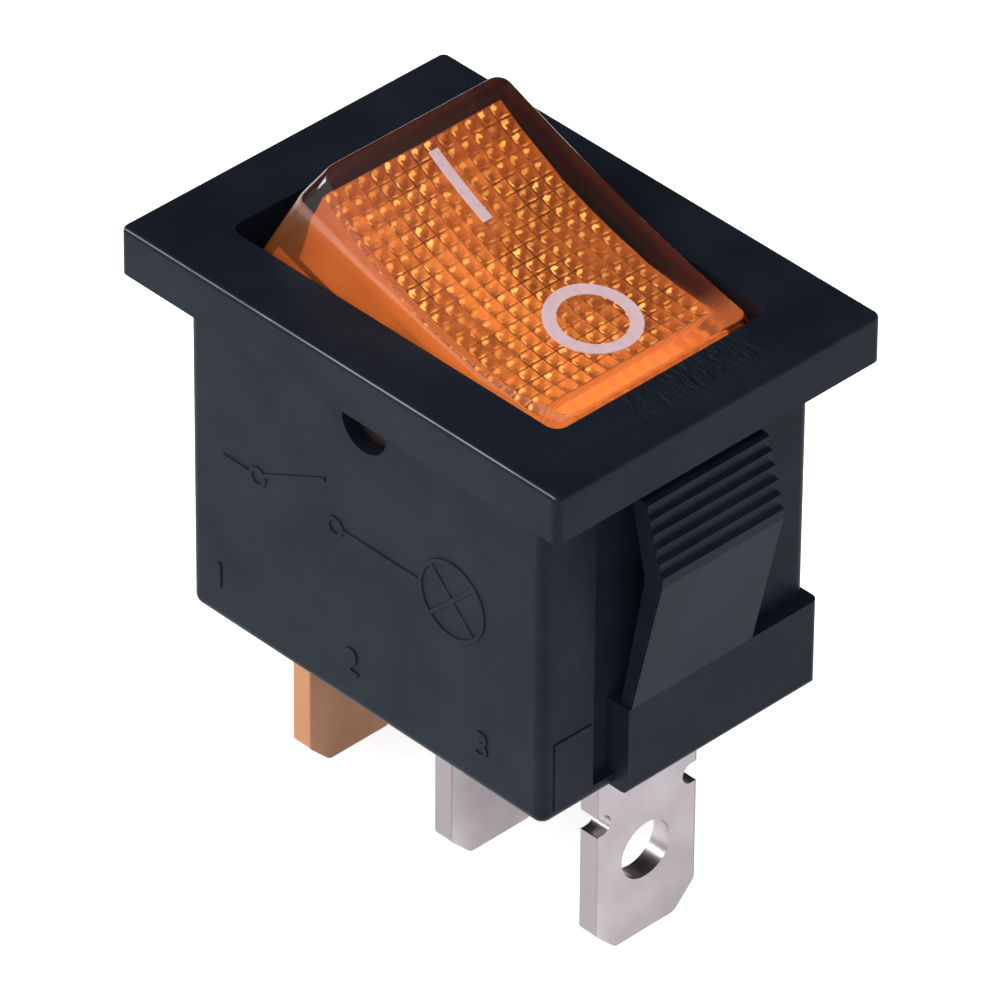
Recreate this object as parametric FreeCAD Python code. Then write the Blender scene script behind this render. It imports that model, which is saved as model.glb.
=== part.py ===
import FreeCAD, Part
import math
import os

# Lit panel rocker switch, snap-in type, with three blade terminals.
# Millimetres. X runs along the long side, Y across, +Z out of the panel.
# The origin is the middle of the bezel's underside, which lies on the panel.

# Cavity, walls and bezel
cavity_length = 15.5
cavity_width = 9.9
end_wall = 0.87
side_wall = 1.23
floor_thickness = 1.3
body_corner_round = 0.45
bezel_end_overhang = 1.88
bezel_side_overhang = 1.32
bezel_thickness = 1.9
bezel_corner_radius = 0.3
bezel_top_round = 0.2
opening_step = 0.1
opening_corner_radius = 0.5

# Lower block on each short side, that carries the snap tongue
block_reach = 0.64
block_height = 3.6
block_start = -2.8
block_round = 0.3
wall_overlap = 0.3

# Snap tongue
tongue_start = -2.66
tongue_width = 5.65
tongue_bulge = 1.94
tongue_bulge_depth = 4.27
tongue_top_reach = 1.03
tongue_top_depth = 1.15
tongue_thickness = 0.8
tongue_top_thickness = 0.6
tongue_root_gap = 0.12
ridge_count = 6
ridge_height = 0.16

# Pocket in the short wall behind and beside the tongue
pocket_start = -3.8
pocket_end = 3.7
pocket_depth = 0.4
pocket_top_depth = 0.45
slot_foot = 0.6

# Fine step at the foot of each short wall's near post
step_height = 3.3
step_reach = 0.05
step_start = -5.93
step_end = -3.9

# Rocker pivot, in the long walls
pivot_depth = 1.45
pivot_boss_radius = 1.0
pivot_clearance = 0.08
pivot_boss_length = 0.75
pivot_ear_radius = 1.8
half_tilt = 17.87

# Rocker cap, in its own upright frame with the pivot at the origin
cap_side_clearance = 0.1
cap_end_clearance = 0.193
cap_rim_width = 8.3
cap_rim_height = 5.55
cap_bevel_height = 4.35
cap_bevel_round = 1.1
cap_end_lean = 12.0
cap_skirt = 0.6
cap_wall = 0.5
cap_top_wall = 0.95
cap_collar_side = 1.1
cap_collar_on_end = 0.68
cap_collar_off_end = 1.27
cap_collar_height = 1.6
cap_corner_round = 0.55
cap_rim_round = 0.1
dish_height = 4.53
dish_radius = 18.7
stop_clearance = 0.04
ledge_width = 1.6
ledge_height = 2.2
ledge_reach = 0.5

# Printed marks on the cap
mark_thickness = 0.04
on_mark_place = -3.56
on_mark_length = 2.98
on_mark_width = 0.41
off_mark_place = 3.13
off_mark_radius = 1.7
off_mark_stroke = 0.48

# Lamp carrier that closes the cap from below
carrier_seat = 0.3
carrier_thickness = 0.8
carrier_clearance = 0.05
carrier_ledge = 0.15
carrier_rib_height = 0.9
carrier_rib_thickness = 0.6
bulb_rib_places = (-1.2, 3.0)
resistor_rib_places = (-1.2, 0.8)
tube_radius = 1.75
tube_end = 5.3
tube_crown = 0.3

# Plunger and its spring
plunger_radius = 1.0
plunger_clearance = 0.05
plunger_tip_radius = 0.7
plunger_tip_centre = 6.2
plunger_shoulder = 5.0
plunger_top = 2.6
plunger_spring_radius = 0.75
plunger_spring_wire = 0.2
plunger_spring_turns = 5
spring_end_gap = 0.05

# Contact lever, about its fulcrum
seat_gap = 0.1
strip_thickness = 0.5
strip_width = 4.2
fulcrum_clearance = 0.05
lever_tilt = 10.0
wing_slope = 0.26
wing_length = 2.3
lever_long_arm = 6.3
lever_short_arm = 3.1

# Blades
blade_wall_gap = 0.25
blade_thickness = 0.8
blade_width = 4.7
blade_offset = -0.1
blade_length = 8.3
blade_corner = 0.95
blade_corner_round = 0.35
blade_hole_radius = 1.15
blade_hole_depth = 4.8
notch_radius = 0.42
notch_reach = 0.65
notch_depth = 2.65
blade_slot_clearance = 0.05
head_width = 6.2
head_height = 0.8
foot_thickness = 0.5
under_foot_gap = 1.164

# Middle terminal's cheeks, that keep the lever on its edge
cheek_gap = 0.2
cheek_width = 0.8
cheek_height = 1.0

# Contacts
contact_place = 5.4
contact_radius = 0.9
contact_shank_radius = 0.5
moving_contact_height = 0.54
contact_gap = 0.05
fixed_contact_height = 0.6
contact_edge = 0.2

# Lamp springs
lamp_spring_place = 5.0
lamp_spring_radius = 0.65
lamp_spring_wire = 0.22
lamp_spring_turns = 9
load_spring_offset = 3.4
lamp_foot_depth = 7.9
lamp_foot_margin = 0.9
load_foot_margin = 0.7
load_ear_half_length = 0.9
load_spring_shift = 0.23
spring_top_gap = 0.3
pad_radius = 0.75
pad_thickness = 0.25
nib_radius = 0.4
nib_height = 0.6

# Neon lamp
bulb_radius = 1.4
bulb_wall = 0.25
bulb_length = 7.6
bulb_offset = 1.75
bulb_lift = 0.1
bulb_end = 4.3
bulb_seal = 1.0
electrode_radius = 0.3
electrode_spacing = 1.0
electrode_length = 4.2
lead_radius = 0.175

# Resistor
resistor_radius = 0.85
resistor_length = 3.8
resistor_offset = -2.3
resistor_lift = 0.1
resistor_waist = 0.72
sleeve_radius = 0.45
sleeve_length = 1.8
sleeve_clearance = 0.02
lead_run = 0.8
joint_run = 0.6

# Values that follow from the sizes above
body_length = cavity_length + 2 * end_wall
body_width = cavity_width + 2 * side_wall
bezel_length = body_length + 2 * bezel_end_overhang
bezel_width = body_width + 2 * bezel_side_overhang
opening_length = cavity_length + 2 * opening_step
pivot_z = -pivot_depth
cap_half_width = cavity_width / 2 - cap_side_clearance
cap_foot_length = cavity_length - 2 * cap_end_clearance
blade_pitch = cavity_length / 2 - blade_wall_gap - blade_thickness / 2
edge_radius = blade_thickness / 2
seat_top = edge_radius + fulcrum_clearance + strip_thickness
tip_rest = seat_top + (plunger_tip_radius + seat_gap) / math.cos(math.atan(wing_slope))
fulcrum_z = pivot_z - plunger_tip_centre - tip_rest
wing_top = seat_top + wing_length * wing_slope
lever_sine = math.sin(math.radians(lever_tilt))
lever_cosine = math.cos(math.radians(lever_tilt))
contact_face = wing_top - strip_thickness - moving_contact_height
meeting_x = contact_place * lever_cosine + contact_face * lever_sine
meeting_drop = (contact_place + contact_radius - contact_edge) * lever_sine
meeting_z = fulcrum_z - meeting_drop + contact_face * lever_cosine
load_foot_top = meeting_z - contact_gap - fixed_contact_height
floor_z = load_foot_top - foot_thickness - under_foot_gap
body_depth = floor_thickness - floor_z
bulb_start = bulb_end - bulb_length
joint_place = bulb_start - joint_run
sleeve_middle = joint_place + sleeve_length / 2 - 0.4
carrier_floor = carrier_seat - carrier_thickness
bulb_axis = carrier_seat + bulb_lift + bulb_radius
resistor_axis = carrier_seat + resistor_lift + resistor_radius
X_AXIS = FreeCAD.Vector(1, 0, 0)
Y_AXIS = FreeCAD.Vector(0, 1, 0)
Z_AXIS = FreeCAD.Vector(0, 0, 1)


def vec(x, y, z):
    return FreeCAD.Vector(x, y, z)


def box(x0, x1, y0, y1, z0, z1):
    """A block between two corners."""
    return Part.makeBox(x1 - x0, y1 - y0, z1 - z0, vec(x0, y0, z0))


def rod(start, end, radius):
    """A round bar from one point to another."""
    return Part.makeCylinder(radius, (end - start).Length, start, end - start)


def plate_xz(points, y0, y1):
    """An outline in the XZ plane, carried along Y."""
    corners = [vec(x, y0, z) for x, z in points]
    face = Part.Face(Part.makePolygon(corners + [corners[0]]))
    return face.extrude(vec(0, y1 - y0, 0))


def plate_yz(points, x0, x1):
    """An outline in the YZ plane, carried along X."""
    corners = [vec(x0, y, z) for y, z in points]
    face = Part.Face(Part.makePolygon(corners + [corners[0]]))
    return face.extrude(vec(x1 - x0, 0, 0))


def rounded(shape, radius, wanted):
    """Rounds the edges that the test picks."""
    edges = [edge for edge in shape.Edges if wanted(edge)]
    return shape.makeFillet(radius, edges)


def runs_along(edge, axis):
    """True for a straight edge along the axis."""
    if not isinstance(edge.Curve, (Part.Line, Part.LineSegment)):
        return False
    return abs(abs(edge.tangentAt(edge.FirstParameter).dot(axis)) - 1) < 1e-6


def round_block(length, width, z0, z1, corner):
    """A block centred on the Z axis with rounded upright corners."""
    block = box(-length / 2, length / 2, -width / 2, width / 2, z0, z1)
    return rounded(block, corner, lambda edge: runs_along(edge, Z_AXIS))


def wire_path(points, radius):
    """A round wire along straight runs, with a ball at each bend."""
    solid = rod(points[0], points[1], radius)
    for start, end in zip(points[1:], points[2:]):
        solid = solid.fuse(Part.makeSphere(radius, start))
        solid = solid.fuse(rod(start, end, radius))
    return solid.removeSplitter()


def coil(foot, radius, wire, turns, length):
    """A coil spring standing on its foot, axis along Z. The length is over the wire."""
    rise = length - wire
    helix = Part.makeHelix(rise / turns, rise, radius)
    start = vec(radius, 0, 0)
    slope = vec(0, radius * 2 * math.pi, rise / turns)
    section = Part.Wire(Part.makeCircle(wire / 2, start, slope))
    spring = Part.Wire(helix).makePipeShell([section], True, True)
    spring.translate(foot + vec(0, 0, wire / 2))
    return spring


def seated(shape):
    """Takes a piece from the rocker's upright frame to its switched-off place."""
    placed = shape.copy()
    placed.rotate(vec(0, 0, 0), Y_AXIS, half_tilt)
    placed.translate(vec(0, 0, pivot_z))
    return placed


def lever_placed(shape):
    """Takes a piece from the lever's level frame to its switched-off place."""
    placed = shape.copy()
    placed.rotate(vec(0, 0, 0), Y_AXIS, -lever_tilt)
    placed.translate(vec(0, 0, fulcrum_z))
    return placed


def on_rocker(x, y, z):
    """A point of the rocker's upright frame, where it lies when switched off."""
    tilt = math.radians(half_tilt)
    return vec(x * math.cos(tilt) + z * math.sin(tilt), y, pivot_z - x * math.sin(tilt) + z * math.cos(tilt))


def dish(radius, half_width):
    """A cylinder across the rocker whose lowest line forms its dished top."""
    centre = vec(0, -half_width, dish_height + dish_radius)
    return Part.makeCylinder(radius, 2 * half_width, centre, Y_AXIS)


def tongue_outline():
    """The snap tongue's section on the +X side, with serrations on its upper slope."""
    root = body_length / 2 + block_reach
    root_z = block_height - body_depth
    bulge = body_length / 2 + tongue_bulge
    top = body_length / 2 + tongue_top_reach
    rise = tongue_bulge_depth - tongue_top_depth
    points = [(root, root_z), (bulge, -tongue_bulge_depth)]
    for ridge in range(ridge_count):
        base = ridge / ridge_count
        crest = (ridge + 0.85) / ridge_count
        points.append((bulge + (top - bulge) * base, -tongue_bulge_depth + rise * base))
        points.append((bulge + (top - bulge) * crest + ridge_height, -tongue_bulge_depth + rise * crest))
    points.append((top, -tongue_top_depth))
    points.append((top - tongue_top_thickness, -tongue_top_depth))
    points.append((bulge - tongue_thickness, -tongue_bulge_depth))
    points.append((body_length / 2 + tongue_root_gap, root_z))
    return points[:2] + points[3:]


def snap_side():
    """Block and tongue on the +X side."""
    half = body_length / 2
    root_z = block_height - body_depth
    block = box(half - wall_overlap, half + block_reach, block_start, body_width / 2, -body_depth, root_z)
    block = rounded(block, block_round, lambda edge: abs(edge.CenterOfMass.x - half - block_reach) < 1e-6
                    and edge.CenterOfMass.z < root_z - 0.1 and not edge.CenterOfMass.y < block_start + 0.1)
    tongue = plate_xz(tongue_outline(), tongue_start, tongue_start + tongue_width)
    foot = box(half - wall_overlap, half + block_reach, block_start, tongue_start + 0.5, root_z - 0.3, root_z)
    return block.fuse(tongue).fuse(foot)


def side_pocket():
    """Relief in the +X wall behind the tongue, and the slot beside it down to the foot."""
    half = body_length / 2
    root_z = block_height - body_depth
    behind = box(half - pocket_depth, half + 0.5, pocket_start, pocket_end, root_z, -pocket_top_depth)
    beside = box(half - pocket_depth, half + 0.5, pocket_start, block_start, slot_foot - body_depth, root_z)
    return behind.fuse(beside)


def blade_slot(place):
    """Opening in the floor for one blade."""
    across = blade_width / 2 + blade_slot_clearance
    through = blade_thickness / 2 + blade_slot_clearance
    return box(place - through, place + through, blade_offset - across, blade_offset + across,
               -body_depth - 1, floor_z + 1)


def mirrored(shape):
    """The same shape on the -X side."""
    return shape.mirror(vec(0, 0, 0), X_AXIS)


def stop_ledge():
    """Ledge in a corner of the cavity at +X where the rocker's skirt comes to rest."""
    tilt = math.radians(half_tilt)
    skirt_end = cap_foot_length / 2
    top = pivot_z - skirt_end * math.sin(tilt) - cap_skirt * math.cos(tilt) - stop_clearance
    reach = skirt_end * math.cos(tilt) - cap_skirt * math.sin(tilt) - ledge_reach
    wall = cavity_length / 2 + 0.1
    side = cavity_width / 2 + 0.1
    low = top - ledge_height
    outline = [(reach, top), (wall, top), (wall, low), (wall - 0.2, low), (reach, top - 0.8)]
    ledge = plate_xz(outline, side - ledge_width, side)
    return ledge.fuse(ledge.mirror(vec(0, 0, 0), Y_AXIS))


def make_case():
    """Bezel, body, blocks and tongues in one moulding."""
    bezel = round_block(bezel_length, bezel_width, 0, bezel_thickness, bezel_corner_radius)
    bezel = rounded(bezel, bezel_top_round, lambda edge: abs(edge.CenterOfMass.z - bezel_thickness) < 1e-6)
    body = box(-body_length / 2, body_length / 2, -body_width / 2, body_width / 2, -body_depth, 0)
    body = rounded(body, body_corner_round, lambda edge: edge.CenterOfMass.z < -0.1)
    shell = bezel.fuse(body)
    opening = round_block(opening_length, cavity_width, -0.001, bezel_thickness + 1, opening_corner_radius)
    cavity = round_block(cavity_length, cavity_width, floor_z, 0, opening_corner_radius)
    shell = shell.cut(opening).cut(cavity)
    pocket = side_pocket()
    shell = shell.cut(pocket).cut(mirrored(pocket))
    side = snap_side()
    shell = shell.fuse(side).fuse(mirrored(side))
    half = body_length / 2
    step = box(half - 0.2, half + step_reach, step_start + 0.3, step_end, -body_depth + 0.5, step_height - body_depth)
    shell = shell.fuse(step).fuse(mirrored(step))
    ledge = stop_ledge()
    shell = shell.fuse(ledge).fuse(mirrored(ledge))
    hole_start = vec(0, -body_width, pivot_z)
    hole = Part.makeCylinder(pivot_boss_radius + pivot_clearance, 2 * body_width, hole_start, Y_AXIS)
    shell = shell.cut(hole)
    for place in (-blade_pitch, 0, blade_pitch):
        shell = shell.cut(blade_slot(place))
    return shell.removeSplitter()


def cap_blank(inset, top_drop, foot):
    """The cap's outer form, drawn in by an inset, with its dished top lowered."""
    lean = math.tan(math.radians(cap_end_lean))
    high = cap_rim_height + 2
    half_foot = cap_foot_length / 2 - inset + (foot - cap_skirt) * lean
    half_high = half_foot - (foot + high) * lean
    ends = [(-half_foot, -foot), (half_foot, -foot), (half_high, high), (-half_high, high)]
    width = cap_half_width - inset
    lengthwise = plate_xz(ends, -width, width)
    slope = (cap_half_width - cap_rim_width / 2) / (cap_rim_height - cap_bevel_height)
    narrow = width - slope * (high - cap_bevel_height)
    sides = [(-width, -foot - 1), (width, -foot - 1), (width, cap_bevel_height)]
    sides += [(narrow, high), (-narrow, high), (-width, cap_bevel_height)]
    crosswise = plate_yz(sides, -half_foot - 1, half_foot + 1)
    if inset == 0:
        crosswise = rounded(crosswise, cap_bevel_round, lambda edge: runs_along(edge, X_AXIS)
                            and abs(edge.CenterOfMass.z - cap_bevel_height) < 1e-6)
    blank = lengthwise.common(crosswise)
    if inset == 0:
        upright = [edge for edge in blank.Edges if abs(edge.CenterOfMass.x) > 5
                   and 3.5 < abs(edge.CenterOfMass.y) < width + 0.01
                   and abs(edge.tangentAt(edge.FirstParameter).y) < 0.9]
        corners = [edge for edge in upright if edge.BoundBox.ZLength > 0.4]
        blank = blank.makeFillet(cap_corner_round, corners)
    blank = blank.cut(dish(dish_radius + top_drop, 2 * cap_half_width))
    if inset == 0:
        blank = rounded(blank, cap_rim_round, on_rim)
    return blank


def on_rim(edge):
    """True for an edge that lies on the dished top."""
    for place in (edge.FirstParameter, edge.LastParameter, (edge.FirstParameter + edge.LastParameter) / 2):
        point = edge.valueAt(place)
        if abs(math.hypot(point.x, point.z - dish_height - dish_radius) - dish_radius) > 1e-4:
            return False
    return True


def collar():
    """Plastic that thickens the cap's walls above the lamp's room, so that its edges look deep."""
    end = cap_foot_length / 2 - (dish_height + cap_skirt) * math.tan(math.radians(cap_end_lean))
    side = cap_half_width - cap_collar_side
    low, high = cap_collar_height, cap_rim_height
    whole = box(-cap_foot_length, cap_foot_length, -cap_half_width, cap_half_width, low, high)
    return whole.cut(box(cap_collar_on_end - end, end - cap_collar_off_end, -side, side, low - 1, high + 1))


def make_rocker_cap():
    """Clear cap with its hollow, carrier seat and pivot bosses, in the upright frame."""
    cap = cap_blank(0, 0, cap_skirt)
    hollow = cap_blank(cap_wall, cap_top_wall, cap_skirt + 1).cut(collar())
    seat = cap_blank(cap_wall - carrier_ledge, cap_top_wall, cap_skirt + 1)
    lower = box(-cap_foot_length, cap_foot_length, -cap_half_width, cap_half_width, -cap_skirt - 2, carrier_seat)
    cap = cap.cut(hollow).cut(seat.common(lower))
    for side in (-1, 1):
        inner = side * (cap_half_width - cap_wall + carrier_ledge)
        outer = side * cap_half_width
        ear = rod(vec(0, inner, 0), vec(0, outer, 0), pivot_ear_radius)
        ear = ear.common(box(-3, 3, -cap_half_width, cap_half_width, -3, carrier_seat))
        boss = rod(vec(0, inner, 0), vec(0, outer + side * pivot_boss_length, 0), pivot_boss_radius)
        cap = cap.fuse(ear).fuse(boss)
    return seated(cap.removeSplitter())


def on_dish(outline_solid):
    """Keeps the thin layer of a solid that lies on the dished top."""
    layer = dish(dish_radius, cap_half_width).cut(dish(dish_radius - mark_thickness, cap_half_width))
    return seated(outline_solid.common(layer))


def make_on_mark():
    """Printed bar of the on end."""
    half = on_mark_length / 2
    return on_dish(box(on_mark_place - half, on_mark_place + half, -on_mark_width / 2, on_mark_width / 2, 3, 7))


def make_off_mark():
    """Printed ring of the off end."""
    centre = vec(off_mark_place, 0, 3)
    ring = Part.makeCylinder(off_mark_radius, 4, centre)
    return on_dish(ring.cut(Part.makeCylinder(off_mark_radius - off_mark_stroke, 4, centre)))


def carrier_hole(x, y):
    """Hole through the carrier for a lead."""
    return rod(vec(x, y, carrier_floor - 1), vec(x, y, carrier_seat + 1), lead_radius + carrier_clearance)


def make_lamp_carrier():
    """Tray under the lamp with ribs, lead holes and the plunger's tube."""
    inset = cap_wall - carrier_ledge + carrier_clearance
    slab = cap_blank(inset, cap_top_wall, cap_skirt)
    reach = cap_foot_length
    tray = slab.common(box(-reach, reach, -cap_half_width, cap_half_width, carrier_floor, carrier_seat))
    ear_bay = rod(vec(0, -cap_half_width, 0), vec(0, cap_half_width, 0), pivot_ear_radius + carrier_clearance)
    wide = cap_half_width - cap_wall + carrier_ledge
    tray = tray.cut(ear_bay.cut(box(-3, 3, -wide, wide, -3, 3)))
    tube = rod(vec(0, 0, carrier_floor), vec(0, 0, -tube_end), tube_radius)
    tray = tray.fuse(tube)
    for x in bulb_rib_places:
        rib = box(x, x + carrier_rib_thickness, bulb_offset - bulb_radius, bulb_offset + bulb_radius,
                  carrier_seat, carrier_seat + carrier_rib_height)
        tray = tray.fuse(rib)
    for x in resistor_rib_places:
        rib = box(x, x + carrier_rib_thickness, resistor_offset - resistor_radius,
                  resistor_offset + resistor_radius, carrier_seat, carrier_seat + carrier_rib_height * 0.8)
        tray = tray.fuse(rib)
    bulb_bed = rod(vec(-reach, bulb_offset, bulb_axis), vec(reach, bulb_offset, bulb_axis),
                   bulb_radius + carrier_clearance)
    resistor_bed = rod(vec(-reach, resistor_offset, resistor_axis), vec(reach, resistor_offset, resistor_axis),
                       resistor_radius + carrier_clearance)
    tray = tray.cut(bulb_bed).cut(resistor_bed)
    bore = rod(vec(0, 0, -tube_end - 1), vec(0, 0, -tube_crown), plunger_radius + plunger_clearance)
    tray = tray.cut(bore)
    tray = tray.cut(carrier_hole(-lamp_spring_place, 0)).cut(carrier_hole(lamp_spring_place, load_spring_offset))
    return seated(tray.removeSplitter())


def make_plunger():
    """Round-nosed pin that slides in the carrier's tube."""
    body = rod(vec(0, 0, -plunger_shoulder), vec(0, 0, -plunger_top), plunger_radius)
    stem = rod(vec(0, 0, -plunger_tip_centre), vec(0, 0, -plunger_shoulder), plunger_tip_radius)
    nose = Part.makeSphere(plunger_tip_radius, vec(0, 0, -plunger_tip_centre))
    return seated(body.fuse(stem).fuse(nose).removeSplitter())


def make_plunger_spring():
    """Spring between the plunger and the tube's crown."""
    length = plunger_top - tube_crown - 2 * spring_end_gap
    foot = vec(0, 0, -plunger_top + spring_end_gap)
    return seated(coil(foot, plunger_spring_radius, plunger_spring_wire, plunger_spring_turns, length))


def make_contact_lever():
    """Bent strip that see-saws on the middle terminal's top edge, in its level frame."""
    thick = strip_thickness
    top = wing_top
    upper = [(-lever_short_arm, top), (-wing_length, top), (0, seat_top), (wing_length, top), (lever_long_arm, top)]
    lower = [(x, z - thick) for x, z in reversed(upper)]
    strip = plate_xz(upper + lower, -strip_width / 2, strip_width / 2)
    cuff = rod(vec(0, -strip_width / 2, 0), vec(0, strip_width / 2, 0), seat_top)
    cuff = cuff.common(box(-2, 2, -strip_width, strip_width, 0, 2))
    bed = rod(vec(0, -strip_width, 0), vec(0, strip_width, 0), edge_radius + fulcrum_clearance)
    strip = strip.fuse(cuff).cut(bed)
    shank = rod(vec(contact_place, 0, top - 2), vec(contact_place, 0, top + 1), contact_shank_radius)
    return lever_placed(strip.cut(shank).removeSplitter())


def rivet(head_height, shank_length, edge):
    """Contact rivet with its domed head up and its shank down, head underside at the origin."""
    head = rod(vec(0, 0, 0), vec(0, 0, head_height), contact_radius)
    head = head.makeChamfer(edge, [e for e in head.Edges if abs(e.CenterOfMass.z - head_height) < 1e-6])
    shank = rod(vec(0, 0, -shank_length), vec(0, 0, 0), contact_shank_radius)
    return head.fuse(shank).removeSplitter()


def make_moving_contact():
    """Contact rivet under the lever's long arm."""
    shape = rivet(moving_contact_height, strip_thickness, contact_edge)
    shape.rotate(vec(0, 0, 0), X_AXIS, 180)
    shape.translate(vec(contact_place, 0, wing_top - strip_thickness))
    return lever_placed(shape)


def make_fixed_contact():
    """Contact rivet on the load terminal's foot."""
    shape = rivet(fixed_contact_height, foot_thickness, contact_edge)
    shape.translate(vec(meeting_x, 0, load_foot_top))
    return shape


def blade_outline(top_z):
    """A blade's outline from its tip up to a height, with the wider head on the floor."""
    left = blade_offset - blade_width / 2
    right = blade_offset + blade_width / 2
    tip = -body_depth - blade_length
    head_left = blade_offset - head_width / 2
    head_right = blade_offset + head_width / 2
    outline = [(left + blade_corner, tip), (right - blade_corner, tip), (right, tip + blade_corner)]
    outline += [(right, floor_z), (head_right, floor_z), (head_right, top_z), (head_left, top_z)]
    outline += [(head_left, floor_z), (left, floor_z), (left, tip + blade_corner)]
    return outline


def make_blade(place, top_z):
    """Flat blade with its corners cut, two side notches and a round hole."""
    tip = -body_depth - blade_length
    x0 = place - blade_thickness / 2
    x1 = place + blade_thickness / 2
    blade = plate_yz(blade_outline(top_z), x0, x1)
    blade = rounded(blade, blade_corner_round, lambda edge: runs_along(edge, X_AXIS)
                    and edge.CenterOfMass.z < tip + blade_corner + 0.01)
    for side in (-1, 1):
        y = blade_offset + side * (blade_width / 2 - notch_reach + notch_radius)
        z = -body_depth - notch_depth
        notch = rod(vec(x0 - 1, y, z), vec(x1 + 1, y, z), notch_radius)
        outer = y + side * 2 * notch_radius
        gate = box(x0 - 1, x1 + 1, min(y, outer), max(y, outer), z - notch_radius, z + notch_radius)
        blade = blade.cut(notch).cut(gate)
    z = -body_depth - blade_hole_depth
    hole = rod(vec(x0 - 1, blade_offset, z), vec(x1 + 1, blade_offset, z), blade_hole_radius)
    return blade.cut(hole)


def make_common_terminal():
    """Middle blade whose rounded top edge carries the lever between two cheeks."""
    blade = make_blade(0, fulcrum_z)
    y0 = blade_offset - head_width / 2
    y1 = blade_offset + head_width / 2
    edge = rod(vec(0, y0, fulcrum_z), vec(0, y1, fulcrum_z), edge_radius)
    blade = blade.fuse(edge)
    gap = strip_width / 2 + cheek_gap
    for side in (-1, 1):
        near = side * gap
        far = side * (gap + cheek_width)
        cheek = box(-blade_thickness / 2, blade_thickness / 2, min(near, far), max(near, far),
                    floor_z, fulcrum_z + cheek_height)
        blade = blade.fuse(cheek)
    return blade.removeSplitter()


def make_lamp_terminal():
    """Brass blade at -X whose foot carries the lamp's first spring."""
    x_out = -blade_pitch - blade_thickness / 2
    x_in = -blade_pitch + blade_thickness / 2
    blade = make_blade(-blade_pitch, floor_z + head_height)
    half = blade_width / 2
    web = box(x_out, x_in, blade_offset - half, blade_offset + half, floor_z, -lamp_foot_depth)
    foot = box(x_out, lamp_foot_margin - lamp_spring_place, blade_offset - half, blade_offset + half,
               -lamp_foot_depth - foot_thickness, -lamp_foot_depth)
    nib = rod(vec(-lamp_spring_place, 0, -lamp_foot_depth), vec(-lamp_spring_place, 0, -lamp_foot_depth + nib_height),
              nib_radius)
    return blade.fuse(web).fuse(foot).fuse(nib).removeSplitter()


def load_spring_x():
    """Middle of the load spring's travel along X."""
    return on_rocker(lamp_spring_place, 0, carrier_floor - pad_thickness).x + load_spring_shift


def make_load_terminal():
    """Tinned blade at +X whose foot carries the fixed contact and the lamp's second spring."""
    x_out = blade_pitch + blade_thickness / 2
    x_in = blade_pitch - blade_thickness / 2
    top = load_foot_top
    blade = make_blade(blade_pitch, floor_z + head_height)
    half = blade_width / 2
    web = box(x_in, x_out, blade_offset - half, blade_offset + half, floor_z, top)
    foot = box(meeting_x - contact_radius - load_foot_margin, x_out, blade_offset - half, blade_offset + half,
               top - foot_thickness, top)
    spring_x = load_spring_x()
    ear = box(spring_x - load_ear_half_length, spring_x + load_ear_half_length, blade_offset,
              load_spring_offset + load_ear_half_length, top - foot_thickness, top)
    nib = rod(vec(spring_x, load_spring_offset, top), vec(spring_x, load_spring_offset, top + nib_height), nib_radius)
    shape = blade.fuse(web).fuse(foot).fuse(ear).fuse(nib)
    shape = shape.cut(rod(vec(meeting_x, 0, top - 2), vec(meeting_x, 0, top + 0.01), contact_shank_radius))
    return shape.removeSplitter()


def make_neutral_spring():
    """Spring from the lamp terminal's foot to the carrier's first pad."""
    pad = on_rocker(-lamp_spring_place, 0, carrier_floor - pad_thickness)
    foot = vec(-lamp_spring_place, 0, -lamp_foot_depth + spring_end_gap)
    length = pad.z - spring_top_gap - foot.z
    return coil(foot, lamp_spring_radius, lamp_spring_wire, lamp_spring_turns, length)


def make_load_spring():
    """Spring from the load terminal's foot to the carrier's second pad."""
    pad = on_rocker(lamp_spring_place, load_spring_offset, carrier_floor - pad_thickness)
    foot = vec(load_spring_x(), load_spring_offset, load_foot_top + spring_end_gap)
    length = pad.z - spring_top_gap - foot.z
    return coil(foot, lamp_spring_radius, lamp_spring_wire, lamp_spring_turns, length)


def pad(x, y):
    """Flattened end of a lead under the carrier, where a spring presses."""
    return rod(vec(x, y, carrier_floor - pad_thickness), vec(x, y, carrier_floor), pad_radius)


def electrode(y, points):
    """One electrode inside the bulb with its lead along the given points."""
    inner_end = bulb_start + bulb_seal
    rod_shape = rod(vec(inner_end, y, bulb_axis), vec(inner_end + electrode_length, y, bulb_axis), electrode_radius)
    lead = wire_path([vec(inner_end + 0.2, y, bulb_axis)] + points, lead_radius)
    return rod_shape.fuse(lead)


def make_neon_electrode_a():
    """Electrode whose lead goes down to the first pad."""
    y = bulb_offset + electrode_spacing / 2
    x = -lamp_spring_place
    points = [vec(bulb_start - lead_run, y, bulb_axis), vec(x, 0, bulb_axis - 0.6)]
    points.append(vec(x, 0, carrier_floor - pad_thickness / 2))
    return seated(electrode(y, points).fuse(pad(x, 0)).removeSplitter())


def make_neon_electrode_b():
    """Electrode whose lead goes across to the resistor."""
    y = bulb_offset - electrode_spacing / 2
    points = [vec(joint_place - 0.1, y, bulb_axis), vec(joint_place - 0.6, resistor_offset, resistor_axis)]
    points.append(vec(sleeve_middle, resistor_offset, resistor_axis))
    return seated(electrode(y, points).removeSplitter())


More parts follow.
